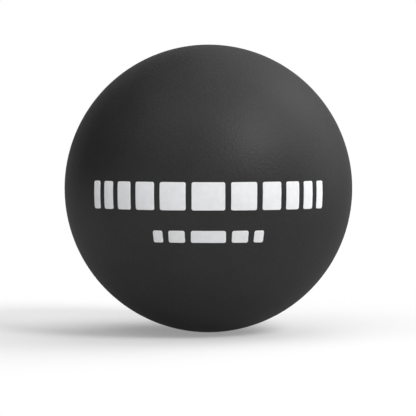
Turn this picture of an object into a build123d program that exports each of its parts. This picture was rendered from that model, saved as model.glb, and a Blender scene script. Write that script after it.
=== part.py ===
from build123d import *
from math import asin, degrees, sqrt
import os

# Squash ball: two moulded rubber half shells, bonded rim to rim around trapped air,
# with films of ink on the outside.
# The origin is the ball's centre, +Z is up and the printed front faces -Y.
# All sizes are in millimetres.

# Shell
ball_diameter = 40.0
wall_thickness = 5.2

# Seam between the front and rear halves
cement_thickness = 0.1  # film between the two rims
rim_chamfer = 0.5  # broken inner edge of each rim, filled by cement
bead_height = 0.3  # cement that stands proud of the cavity wall

# Ink
ink_thickness = 0.05
ink_clearance = 0.015  # keeps the films' curved backs clear of the shells
ink_corner_radius = 0.25
most_rounding = 0.9  # largest corner radius, as a share of half the mark's narrow side

# Upper row of the front print: a middle bar, flanked by bars that narrow towards the sides
middle_bar_width = 4.4
first_bar_width = 3.5
bar_taper = 0.77  # width of each bar as a share of the one before it
bars_each_side = 5
bar_gap = 0.8
bar_height = 3.7
bar_row_level = -0.35  # middle of the row above the ball's centre

# Lower row of the front print: a long dash, flanked by dashes that shorten towards the sides
middle_dash_width = 4.6
first_dash_width = 2.2
dash_taper = 0.6  # width of each dash as a share of the one before it
dashes_each_side = 2
dash_gap = 0.8
dash_height = 1.6
dash_row_level = -5.7  # middle of the row above the ball's centre

# Pair of speed dots on the rear, with left at -X and right at +X
speed_dot_diameter = 3.4
speed_dot_spacing = 6.0

# Sizes that follow from those above
ball_radius = ball_diameter / 2
cavity_radius = ball_radius - wall_thickness
ink_back_radius = ball_radius + ink_clearance
ink_face_radius = ink_back_radius + ink_thickness
rim_level = cement_thickness / 2
chamfer_level = rim_level + rim_chamfer
chamfer_foot = (cavity_radius + rim_chamfer, rim_level)
rim_angle = degrees(asin(rim_level / ball_radius))
chamfer_angle = degrees(asin(chamfer_level / cavity_radius))
quarter_turn = 90.0
half_turn = 180.0

# Section planes for turning round the Y axis: local x runs out from the axis, local y to one pole
front_section = Plane(origin=(0, 0, 0), x_dir=(1, 0, 0), z_dir=(0, 0, -1))
rear_section = Plane.XY


def make_half_shell(section_plane):
    """A half shell with a flat rim, turned from its wall section on one side of the seam."""
    with BuildPart() as half_shell:
        with BuildSketch(section_plane):
            with BuildLine():
                outside = CenterArc((0, 0), ball_radius, rim_angle, quarter_turn - rim_angle)
                inside = CenterArc((0, 0), cavity_radius, chamfer_angle, quarter_turn - chamfer_angle)
                Line(outside @ 1, inside @ 1)
                Polyline(outside @ 0, chamfer_foot, inside @ 0)
            make_face()
        revolve(axis=Axis.Y)
    return half_shell


def make_seam_cement():
    """The ring of cement: flush outside, and a bead that fills the chamfers inside."""
    bead_edge = (sqrt(cavity_radius**2 - chamfer_level**2), chamfer_level)
    with BuildPart() as cement:
        with BuildSketch(rear_section):
            with BuildLine():
                outside = CenterArc((0, 0), ball_radius, -rim_angle, 2 * rim_angle)
                rear_side = Polyline(outside @ 1, chamfer_foot, bead_edge)
                front_side = mirror(rear_side, about=Plane.XZ)
                ThreePointArc(rear_side @ 1, (cavity_radius - bead_height, 0), front_side @ 1)
            make_face()
        revolve(axis=Axis.Y)
    return cement


def facing(arc_length, level=0.0, from_angle=0.0):
    """A plane through the ball's centre that faces out at a place on the ball.

    The place lies arc_length to the right of from_angle, measured round the ball at that level.
    """
    round_radius = sqrt(ball_radius**2 - level**2)
    return Plane.XZ.rotated((0, 0, from_angle + degrees(arc_length / round_radius)))


def cast_on_ball(outline, plane):
    """One film of ink: a flat outline cast out along the plane's normal on to the ball."""
    with BuildPart() as film:
        with BuildSketch(plane):
            add(outline)
        extrude(amount=ball_diameter)
        Sphere(ink_face_radius, mode=Mode.INTERSECT)
        Sphere(ink_back_radius, mode=Mode.SUBTRACT)
    return film.part


def tapered_row(middle_width, first_width, taper, count, gap):
    """(place, width) of each mark in a symmetrical row, with the places as arc lengths."""
    marks = [(0.0, middle_width)]
    edge = middle_width / 2
    for number in range(count):
        width = first_width * taper**number
        place = edge + gap + width / 2
        marks += [(place, width), (-place, width)]
        edge = place + width / 2
    return marks


def make_print_row(marks, height, level):
    """A row of round-cornered marks along one level of the ball's front."""
    films = []
    for place, width in marks:
        corner_radius = min(ink_corner_radius, most_rounding * min(width, height) / 2)
        with BuildSketch() as outline:
            with Locations((0, level)):
                RectangleRounded(width, height, corner_radius)
        films.append(cast_on_ball(outline.sketch, facing(place, level)))
    with BuildPart() as print_row:
        add(films)
    return print_row


def make_speed_dot(place):
    """A round spot of ink on the rear, at an arc length from the rear pole."""
    with BuildSketch() as outline:
        Circle(speed_dot_diameter / 2)
    with BuildPart() as speed_dot:
        add(cast_on_ball(outline.sketch, facing(place, from_angle=half_turn)))
    return speed_dot


bar_marks = tapered_row(middle_bar_width, first_bar_width, bar_taper, bars_each_side, bar_gap)
dash_marks = tapered_row(middle_dash_width, first_dash_width, dash_taper, dashes_each_side, dash_gap)

pieces = {
    "front_half_shell": make_half_shell(front_section),
    "rear_half_shell": make_half_shell(rear_section),
    "seam_cement": make_seam_cement(),
    "front_print_bars": make_print_row(bar_marks, bar_height, bar_row_level),
    "front_print_dashes": make_print_row(dash_marks, dash_height, dash_row_level),
    "left_speed_dot": make_speed_dot(speed_dot_spacing / 2),
    "right_speed_dot": make_speed_dot(-speed_dot_spacing / 2),
}

os.makedirs("parts", exist_ok=True)
for name, piece in pieces.items():
    piece.part.label = name
    export_step(piece.part, f"parts/{name}.step")
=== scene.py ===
from math import acos, ceil, cos, pi, radians, sin, sqrt

import bmesh
import bpy
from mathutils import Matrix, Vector, noise


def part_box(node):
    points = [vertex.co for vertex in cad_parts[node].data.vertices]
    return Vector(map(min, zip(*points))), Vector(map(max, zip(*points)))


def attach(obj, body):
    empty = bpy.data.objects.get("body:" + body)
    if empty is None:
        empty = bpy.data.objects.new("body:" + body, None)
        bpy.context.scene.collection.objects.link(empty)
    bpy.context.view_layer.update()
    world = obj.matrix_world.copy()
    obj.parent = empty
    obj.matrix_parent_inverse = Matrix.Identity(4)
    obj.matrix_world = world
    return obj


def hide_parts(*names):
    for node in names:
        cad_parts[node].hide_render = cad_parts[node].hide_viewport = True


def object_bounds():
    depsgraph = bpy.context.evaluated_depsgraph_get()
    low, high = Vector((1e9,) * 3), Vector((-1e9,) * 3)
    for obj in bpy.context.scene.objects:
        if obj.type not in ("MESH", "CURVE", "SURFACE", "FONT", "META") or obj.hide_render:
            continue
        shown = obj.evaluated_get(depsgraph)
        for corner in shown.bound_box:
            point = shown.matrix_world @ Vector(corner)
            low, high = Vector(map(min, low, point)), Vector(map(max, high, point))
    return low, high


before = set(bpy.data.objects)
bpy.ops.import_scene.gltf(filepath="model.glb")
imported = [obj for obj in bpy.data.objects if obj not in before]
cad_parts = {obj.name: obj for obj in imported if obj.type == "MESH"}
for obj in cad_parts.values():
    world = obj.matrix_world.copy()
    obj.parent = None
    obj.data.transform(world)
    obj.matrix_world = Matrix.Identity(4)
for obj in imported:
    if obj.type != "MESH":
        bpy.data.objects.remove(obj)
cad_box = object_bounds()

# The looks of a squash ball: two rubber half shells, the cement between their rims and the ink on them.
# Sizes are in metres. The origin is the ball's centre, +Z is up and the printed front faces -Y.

millimetre = 0.001
body = "root"

# Shell and seam, with the sizes of the solids
ball_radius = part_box("seam_cement")[1].x
wall_thickness = 5.2 * millimetre
cement_thickness = 0.1 * millimetre
rim_chamfer = 0.5 * millimetre
bead_height = 0.3 * millimetre
front_side = -1  # which way along Y each half reaches from the seam
rear_side = 1

# Fine forms along the seam
lip_radius = 0.12 * millimetre  # worn outer edge of each rim
cement_recess = 0.06 * millimetre  # the cement lies this far below the ball's surface

# Ink, with the sizes of the solids
ink_thickness = 0.05 * millimetre
ink_clearance = 0.015 * millimetre
ink_corner_radius = 0.25 * millimetre
most_rounding = 0.9  # largest corner radius, as a share of half the mark's narrow side

# Upper row of the front print
middle_bar_width = 4.4 * millimetre
first_bar_width = 3.5 * millimetre
bar_taper = 0.77  # width of each bar as a share of the one before it
bars_each_side = 5
bar_gap = 0.8 * millimetre
bar_height = 3.7 * millimetre
bar_row_level = -0.35 * millimetre

# Lower row of the front print
middle_dash_width = 4.6 * millimetre
first_dash_width = 2.2 * millimetre
dash_taper = 0.6  # width of each dash as a share of the one before it
dashes_each_side = 2
dash_gap = 0.8 * millimetre
dash_height = 1.6 * millimetre
dash_row_level = -5.7 * millimetre

# Pair of dots on the rear
speed_dot_radius = 1.7 * millimetre
speed_dot_spacing = 6.0 * millimetre
rear_angle = pi  # the rear lies half a turn round from the front

# Fine forms of the ink
edge_share = 0.45  # thickness of a film at its edge, as a share of the rest
edge_wander = 0.015 * millimetre  # how far a printed edge strays
wander_length = 0.7 * millimetre  # distance over which it strays
wander_seed = 7  # picks the pattern of straying, so that each run has the same one

# Fineness of the meshes
dome_rings = 40  # quads from a dome's pole to its edge
lip_steps = 6
bead_steps = 12
corner_steps = 4
dot_rings = 8
film_step = 0.2 * millimetre
sharp_angle = radians(40)

# Sizes that follow from those above
cavity_radius = ball_radius - wall_thickness
rim_level = cement_thickness / 2
lip_level = rim_level + lip_radius
chamfer_level = rim_level + rim_chamfer
foot_radius = cavity_radius + rim_chamfer
bead_edge_radius = sqrt(cavity_radius**2 - chamfer_level**2)
ink_back_radius = ball_radius + ink_clearance

# Places round the edge of a dome's square grid, in order, and their angles round the ball's Y axis
side_places = range(-dome_rings, dome_rings)
edge_walk = [(dome_rings, place) for place in side_places]
edge_walk += [(-place, dome_rings) for place in side_places]
edge_walk += [(-dome_rings, -place) for place in side_places]
edge_walk += [(place, -dome_rings) for place in side_places]
turn_angles = [-pi / 4 + 2 * pi * step / len(edge_walk) for step in range(len(edge_walk))]


# Mesh helpers

def on_disc(across, up):
    """(radius, angle) on a unit disc of a point of the square from -1 to 1.

    A small square of the one stays nearly square on the other.
    """
    if across == 0 and up == 0:
        return 0.0, 0.0
    if abs(across) >= abs(up):
        angle = pi / 4 * up / across
        return abs(across), angle if across > 0 else angle + pi
    angle = pi / 2 - pi / 4 * across / up
    return abs(up), angle if up > 0 else angle + pi


def round_y(distance, angle, level):
    """A point at a distance from the Y axis, at an angle round it and at a level along it."""
    return Vector((distance * cos(angle), level, distance * sin(angle)))


def add_dome(mesh, radius, edge_level, side):
    """A cap of a sphere as quads with no pinched pole, on one side of the seam. Returns its edge loop."""
    edge_angle = acos(edge_level / radius)
    places = range(-dome_rings, dome_rings + 1)
    verts = {}
    for across in places:
        for up in places:
            share, angle = on_disc(across / dome_rings, up / dome_rings)
            tilt = share * edge_angle
            point = round_y(radius * sin(tilt), angle, side * radius * cos(tilt))
            verts[across, up] = mesh.verts.new(point)
    for across in places[:-1]:
        for up in places[:-1]:
            corners = (across, up), (across + 1, up), (across + 1, up + 1), (across, up + 1)
            mesh.faces.new([verts[corner] for corner in corners])
    return [verts[place] for place in edge_walk]


def add_ring(mesh, distance, level):
    """A loop of points round the Y axis, in step with a dome's edge."""
    return [mesh.verts.new(round_y(distance, angle, level)) for angle in turn_angles]


def join_loops(mesh, first, second):
    """A band of quads between two loops."""
    for step in range(len(first)):
        mesh.faces.new((first[step - 1], first[step], second[step], second[step - 1]))


def mesh_data(name, mesh):
    """The finished mesh as data for an object."""
    data = bpy.data.meshes.new(name)
    mesh.to_mesh(data)
    mesh.free()
    return data


def add_object(name, data):
    """A new object in the scene."""
    item = bpy.data.objects.new(name, data)
    bpy.context.scene.collection.objects.link(item)
    return item


def make_piece(name, mesh, material, node):
    """Turns a finished mesh into a piece that stands for a solid and rides on the ball."""
    bmesh.ops.recalc_face_normals(mesh, faces=mesh.faces)
    data = mesh_data(name, mesh)
    data.shade_smooth()
    data.set_sharp_from_angle(angle=sharp_angle)
    data.materials.append(material)
    piece = add_object(name, data)
    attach(piece, body)
    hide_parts(node)


# Half shells and cement

def half_shell_mesh(side):
    """A closed half shell: outer dome, worn lip, flat rim, chamfer and cavity wall."""
    mesh = bmesh.new()
    lip_centre = sqrt(ball_radius**2 - lip_level**2) - lip_radius
    loops = [add_dome(mesh, ball_radius, lip_level, side)]
    for step in range(1, lip_steps + 1):
        angle = pi / 2 * step / lip_steps
        distance = lip_centre + lip_radius * cos(angle)
        level = lip_level - lip_radius * sin(angle)
        loops.append(add_ring(mesh, distance, side * level))
    loops.append(add_ring(mesh, foot_radius, side * rim_level))
    loops.append(add_dome(mesh, cavity_radius, chamfer_level, side))
    for first, second in zip(loops, loops[1:]):
        join_loops(mesh, first, second)
    return mesh


def cement_mesh():
    """A closed ring of cement: a sunken line outside, and a round bead along the cavity."""
    outer_radius = ball_radius - cement_recess
    section = [(outer_radius, -rim_level), (outer_radius, rim_level), (foot_radius, rim_level)]
    bead_rise = bead_edge_radius - (cavity_radius - bead_height)
    for step in range(bead_steps + 1):
        angle = pi * step / bead_steps
        section.append((bead_edge_radius - bead_rise * sin(angle), chamfer_level * cos(angle)))
    section.append((foot_radius, -rim_level))
    mesh = bmesh.new()
    loops = [add_ring(mesh, distance, level) for distance, level in section]
    for number in range(len(loops)):
        join_loops(mesh, loops[number - 1], loops[number])
    return mesh


# Ink

def rounded_grid(width, height, corner_radius, level):
    """Rows of (across, up) points that fill a round-cornered mark."""
    straight = height / 2 - corner_radius
    corner = []
    for step in range(corner_steps + 1):
        angle = pi / 2 * step / corner_steps
        corner.append((straight + corner_radius * sin(angle), corner_radius * (1 - cos(angle))))
    middle_steps = ceil(2 * straight / film_step)
    middle = [(straight * (2 * step / middle_steps - 1), 0.0) for step in range(1, middle_steps)]
    rows = [(-up, inset) for up, inset in reversed(corner)] + middle + corner
    columns = ceil(width / film_step)
    grid = []
    for up, inset in rows:
        reach = width / 2 - inset
        grid.append([(reach * (2 * step / columns - 1), level + up) for step in range(columns + 1)])
    return grid


def disc_grid(radius):
    """Rows of (across, up) points that fill a round spot."""
    places = [step / dot_rings for step in range(-dot_rings, dot_rings + 1)]
    grid = []
    for up in places:
        polar = [on_disc(across, up) for across in places]
        grid.append([(radius * share * cos(angle), radius * share * sin(angle)) for share, angle in polar])
    return grid


def cast_on_ball(across, up, height, facing):
    """The point at a height over the ink's back that a flat mark's point is cast to."""
    outward = Vector((sin(facing), -cos(facing), 0))
    right = Vector((cos(facing), sin(facing), 0))
    flat = across * right + Vector((0, 0, up))
    stray = noise.noise_vector(flat / wander_length) * edge_wander
    across += stray.x
    up += stray.z
    depth = sqrt((ink_back_radius + height)**2 - across**2 - up**2)
    return across * right + Vector((0, 0, up)) + depth * outward


def add_film(mesh, grid, facing):
    """A closed film of ink that thins towards its edge, cast on to the ball."""
    last_row = len(grid) - 1
    last_column = len(grid[0]) - 1
    edge = [(0, column) for column in range(last_column)]
    edge += [(row, last_column) for row in range(last_row)]
    edge += [(last_row, column) for column in range(last_column, 0, -1)]
    edge += [(row, 0) for row in range(last_row, 0, -1)]
    on_edge = set(edge)
    face = {}
    back = {}
    for row, points in enumerate(grid):
        for column, (across, up) in enumerate(points):
            height = ink_thickness * (edge_share if (row, column) in on_edge else 1)
            face[row, column] = mesh.verts.new(cast_on_ball(across, up, height, facing))
            back[row, column] = mesh.verts.new(cast_on_ball(across, up, 0, facing))
    for row in range(last_row):
        for column in range(last_column):
            corners = (row, column), (row, column + 1), (row + 1, column + 1), (row + 1, column)
            for verts in (face, back):
                mesh.faces.new([verts[corner] for corner in corners])
    join_loops(mesh, [face[place] for place in edge], [back[place] for place in edge])


def tapered_row(middle_width, first_width, taper, count, gap):
    """(place, width) of each mark in a symmetrical row, with the places as arc lengths."""
    marks = [(0.0, middle_width)]
    edge = middle_width / 2
    for number in range(count):
        width = first_width * taper**number
        place = edge + gap + width / 2
        marks += [(place, width), (-place, width)]
        edge = place + width / 2
    return marks


def print_row_mesh(marks, height, level):
    """A row of round-cornered marks along one level of the ball's front."""
    mesh = bmesh.new()
    round_radius = sqrt(ball_radius**2 - level**2)
    for place, width in marks:
        corner_radius = min(ink_corner_radius, most_rounding * min(width, height) / 2)
        add_film(mesh, rounded_grid(width, height, corner_radius, level), place / round_radius)
    return mesh


def speed_dot_mesh(place):
    """A round spot on the rear, at an arc length from the rear pole."""
    mesh = bmesh.new()
    add_film(mesh, disc_grid(speed_dot_radius), rear_angle + place / ball_radius)
    return mesh


# Node helpers

noise_spread = (0.3, 0.7)  # most of a noise's values lie between these
off_to_on = (0.0, 1.0)
on_to_off = (1.0, 0.0)


def grey(value):
    """A grey as red, green and blue."""
    return value, value, value


def new_material(name):
    """A node material. Returns it with its tree and its shader."""
    material = bpy.data.materials.new(name)
    material.use_nodes = True
    tree = material.node_tree
    return material, tree, tree.nodes["Principled BSDF"]


def set_values(shader, values):
    """Sets the shader's values that are the same all over the surface, by the names of their sockets."""
    for name, value in values.items():
        shader.inputs[name].default_value = value


def coordinates(tree, kind):
    """Object coordinates are places on the ball in metres. The world's Generated ones are directions."""
    return tree.nodes.new("ShaderNodeTexCoord").outputs[kind]


def along_y(tree, vector):
    """The Y coordinate of a place or a direction."""
    split = tree.nodes.new("ShaderNodeSeparateXYZ")
    tree.links.new(vector, split.inputs["Vector"])
    return split.outputs["Y"]


def add_noise(tree, place, size, detail):
    """Noise whose features have a real size. Returns its value, from 0 to 1."""
    texture = tree.nodes.new("ShaderNodeTexNoise")
    texture.inputs["Scale"].default_value = 1 / size
    texture.inputs["Detail"].default_value = detail
    tree.links.new(place, texture.inputs["Vector"])
    return texture.outputs["Fac"]


def add_range(tree, value, source, target):
    """Carries a value from one range over to another, and stays in it."""
    node = tree.nodes.new("ShaderNodeMapRange")
    names = ("From Min", "From Max", "To Min", "To Max")
    for name, limit in zip(names, source + target):
        node.inputs[name].default_value = limit
    tree.links.new(value, node.inputs["Value"])
    return node.outputs["Result"]


def add_math(tree, operation, *values):
    """One operation on one or two values."""
    node = tree.nodes.new("ShaderNodeMath")
    node.operation = operation
    for value, socket in zip(values, node.inputs):
        tree.links.new(value, socket)
    return node.outputs["Value"]


def add_colours(tree, value, first, second):
    """A colour that goes from the first to the second as the value goes from 0 to 1."""
    ramp = tree.nodes.new("ShaderNodeValToRGB")
    ramp.color_ramp.elements[0].color = (*first, 1)
    ramp.color_ramp.elements[1].color = (*second, 1)
    tree.links.new(value, ramp.inputs["Fac"])
    return ramp.outputs["Color"]


def add_bump(tree, height, depth, shader):
    """Relief of a real depth on a shader and on a coat that it may have."""
    bump = tree.nodes.new("ShaderNodeBump")
    bump.inputs["Distance"].default_value = depth
    tree.links.new(height, bump.inputs["Height"])
    for name in ("Normal", "Coat Normal"):
        tree.links.new(bump.outputs["Normal"], shader.inputs[name])


# Materials

def add_grain(tree, place):
    """The rubber's grain, which the ink on it shows too."""
    grain_size = 0.32 * millimetre
    grain_detail = 3.0
    return add_noise(tree, place, grain_size, grain_detail)


def make_rubber():
    """Black rubber with a fine grain and a dull bloom over it, buffed smoother along the seam."""
    cloud_size = 6.0 * millimetre
    cloud_detail = 2.0
    dark_grey = grey(0.007)
    pale_grey = grey(0.015)
    half_tone = (0.0, 0.5)  # the grain and the clouds each make half of the tone
    matt_roughness = (0.80, 0.90)
    buffing = 0.35  # what buffing takes off the roughness
    band_reach = 0.9 * millimetre  # from the seam to where the buffed band ends
    band_fray = 0.5 * millimetre  # how far the grain breaks into the band
    grain_depth = 0.05 * millimetre
    material, tree, shader = new_material("matt_black_rubber")
    place = coordinates(tree, "Object")
    grain = add_grain(tree, place)
    cloud = add_noise(tree, place, cloud_size, cloud_detail)
    grain_tone = add_range(tree, grain, noise_spread, half_tone)
    cloud_tone = add_range(tree, cloud, noise_spread, half_tone)
    tone = add_math(tree, "ADD", grain_tone, cloud_tone)
    tree.links.new(add_colours(tree, tone, dark_grey, pale_grey), shader.inputs["Base Color"])
    from_seam = add_math(tree, "ABSOLUTE", along_y(tree, place))
    fray = add_range(tree, grain, noise_spread, (0.0, band_fray))
    frayed = add_math(tree, "ADD", from_seam, fray)
    polish = add_range(tree, frayed, (band_fray, band_reach), (buffing, 0.0))
    matt = add_range(tree, cloud, noise_spread, matt_roughness)
    tree.links.new(add_math(tree, "SUBTRACT", matt, polish), shader.inputs["Roughness"])
    set_values(shader, {
        "Specular IOR Level": 0.03,
        "Coat Weight": 0.172,
        "Coat IOR": 2.3,
        "Coat Roughness": 0.53,
    })
    add_bump(tree, grain, grain_depth, shader)
    return material


def make_cement():
    """Dried rubber cement: black, smoother than the shells and slightly lumpy."""
    lump_size = 0.6 * millimetre
    lump_detail = 2.0
    lump_depth = 0.02 * millimetre
    hollow_colour = grey(0.006)
    lump_colour = (0.018, 0.017, 0.016)
    dried_roughness = (0.35, 0.55)
    material, tree, shader = new_material("dried_cement")
    lumps = add_noise(tree, coordinates(tree, "Object"), lump_size, lump_detail)
    tree.links.new(add_colours(tree, lumps, hollow_colour, lump_colour), shader.inputs["Base Color"])
    tree.links.new(add_range(tree, lumps, noise_spread, dried_roughness), shader.inputs["Roughness"])
    set_values(shader, {"Specular IOR Level": 0.3})
    add_bump(tree, lumps, lump_depth, shader)
    return material


def make_ink(name, thin_colour, full_colour):
    """Matt ink that covers unevenly and shows the rubber's grain through it."""
    cover_size = 0.9 * millimetre
    cover_detail = 4.0
    ink_roughness = (0.48, 0.62)
    grain_depth = 0.006 * millimetre  # what the ink leaves of the rubber's grain
    material, tree, shader = new_material(name)
    place = coordinates(tree, "Object")
    cover = add_noise(tree, place, cover_size, cover_detail)
    coverage = add_range(tree, cover, noise_spread, off_to_on)
    tree.links.new(add_colours(tree, coverage, thin_colour, full_colour), shader.inputs["Base Color"])
    tree.links.new(add_range(tree, cover, noise_spread, ink_roughness), shader.inputs["Roughness"])
    set_values(shader, {"Specular IOR Level": 0.3})
    add_bump(tree, add_grain(tree, place), grain_depth, shader)
    return material


rubber = make_rubber()
cement = make_cement()
white_ink = make_ink("white_print", thin_colour=(0.752, 0.76, 0.772), full_colour=(0.812, 0.82, 0.832))
yellow_ink = make_ink("yellow_print", thin_colour=(0.74, 0.49, 0.014), full_colour=(0.82, 0.56, 0.02))

# Pieces

noise.seed_set(wander_seed)
bar_marks = tapered_row(middle_bar_width, first_bar_width, bar_taper, bars_each_side, bar_gap)
dash_marks = tapered_row(middle_dash_width, first_dash_width, dash_taper, dashes_each_side, dash_gap)
bar_mesh = print_row_mesh(bar_marks, bar_height, bar_row_level)
dash_mesh = print_row_mesh(dash_marks, dash_height, dash_row_level)
left_dot_mesh = speed_dot_mesh(speed_dot_spacing / 2)
right_dot_mesh = speed_dot_mesh(-speed_dot_spacing / 2)

make_piece("shell_front", half_shell_mesh(front_side), rubber, "front_half_shell")
make_piece("shell_rear", half_shell_mesh(rear_side), rubber, "rear_half_shell")
make_piece("cement_line", cement_mesh(), cement, "seam_cement")
make_piece("print_bars", bar_mesh, white_ink, "front_print_bars")
make_piece("print_dashes", dash_mesh, white_ink, "front_print_dashes")
make_piece("dot_left", left_dot_mesh, yellow_ink, "left_speed_dot")
make_piece("dot_right", right_dot_mesh, yellow_ink, "right_speed_dot")


# Studio

white = (*grey(1.0), 1.0)


def add_rays(tree):
    """Two values of 0 or 1: for what the camera sees directly, and for what gloss or glass shows it."""
    rays = tree.nodes.new("ShaderNodeLightPath").outputs
    shown = add_math(tree, "MAXIMUM", rays["Is Glossy Ray"], rays["Is Transmission Ray"])
    return rays["Is Camera Ray"], shown


def floor_material():
    """Pale and dull, lifted to white where it is seen, and clear from below."""
    floor_grey = 0.5
    lift = 0.29  # what the lamps leave short of white
    material, tree, shader = new_material("pale_floor")
    set_values(shader, {
        "Base Color": (*grey(floor_grey), 1.0),
        "Roughness": 1.0,
        "Specular IOR Level": 0.0,
        "Emission Color": white,
    })
    visible = add_math(tree, "MAXIMUM", *add_rays(tree))
    tree.links.new(add_range(tree, visible, off_to_on, (0.0, lift)), shader.inputs["Emission Strength"])
    below = tree.nodes.new("ShaderNodeNewGeometry").outputs["Backfacing"]
    tree.links.new(add_range(tree, below, off_to_on, on_to_off), shader.inputs["Alpha"])
    return material


def make_floor():
    """A floor under the ball that looks white outside the shadow."""
    floor_reach = 3.0  # from the ball to each side
    mesh = bmesh.new()
    bmesh.ops.create_grid(mesh, x_segments=1, y_segments=1, size=floor_reach)
    data = mesh_data("floor", mesh)
    data.materials.append(floor_material())
    floor = add_object("floor", data)
    floor.location.z = cad_box[0].z


def make_world():
    """White all round for the camera, and a white backdrop behind the ball for gloss and glass."""
    backdrop_edge = (0.5, 0.9)  # how far a direction points backwards where the backdrop starts and is full
    world = bpy.data.worlds.new("studio")
    world.use_nodes = True
    tree = world.node_tree
    background = tree.nodes["Background"]
    set_values(background, {"Color": white})
    backwards = along_y(tree, coordinates(tree, "Generated"))
    behind = add_range(tree, backwards, backdrop_edge, off_to_on)
    seen, shown = add_rays(tree)
    backdrop = add_math(tree, "MULTIPLY", shown, behind)
    tree.links.new(add_math(tree, "MAXIMUM", seen, backdrop), background.inputs["Strength"])
    bpy.context.scene.world = world


def toward(azimuth, elevation):
    """The direction from the ball to a place round it: azimuth 0 is the camera's side and 90 the right."""
    level = cos(elevation)
    return Vector((sin(azimuth) * level, -cos(azimuth) * level, sin(elevation)))


def look_back(item, direction):
    """Turns a lamp or camera that stands in a direction from the ball towards the ball."""
    item.rotation_euler = direction.to_track_quat("Z", "Y").to_euler()


def add_soft_light(name, azimuth, elevation, spread, strength):
    """A broad, distant light, as wide in the sky as its spread. All angles are in degrees."""
    lamp = bpy.data.lights.new(name, "SUN")
    lamp.angle = radians(spread)
    lamp.energy = strength
    look_back(add_object(name, lamp), toward(radians(azimuth), radians(elevation)))


def make_camera():
    """A long lens at the photograph's angle, with the ball as large and as placed as there."""
    photo_side = 416  # pixels, as are the next three values
    ball_centre_across = 208.4
    ball_centre_down = 188.4
    ball_radius_seen = 143.9
    picture_middle = 0.5  # as a share of the picture's side
    lens = 200.0  # millimetres, as is the sensor
    sensor = 36.0
    elevation = radians(2)
    focal_length = lens / sensor * photo_side
    distance = ball_radius * sqrt(1 + (focal_length / ball_radius_seen)**2)
    data = bpy.data.cameras.new("camera")
    data.lens = lens
    data.sensor_width = sensor
    data.clip_start = ball_radius / 2
    data.shift_x = picture_middle - ball_centre_across / photo_side
    data.shift_y = ball_centre_down / photo_side - picture_middle
    camera = add_object("camera", data)
    direction = toward(0, elevation)
    camera.location = distance * direction
    look_back(camera, direction)
    bpy.context.scene.camera = camera


make_floor()
make_world()
make_camera()
bpy.context.scene.view_settings.view_transform = "Standard"

# The key makes the highlight, side and back light the right rim, and top and fill light the left half
add_soft_light("key", azimuth=45, elevation=39, spread=22, strength=2.02)
add_soft_light("side", azimuth=109, elevation=29, spread=60, strength=1.82)
add_soft_light("back", azimuth=136, elevation=56, spread=60, strength=1.26)
add_soft_light("top", azimuth=320, elevation=72, spread=60, strength=0.98)
add_soft_light("fill", azimuth=328, elevation=20, spread=90, strength=0.95)
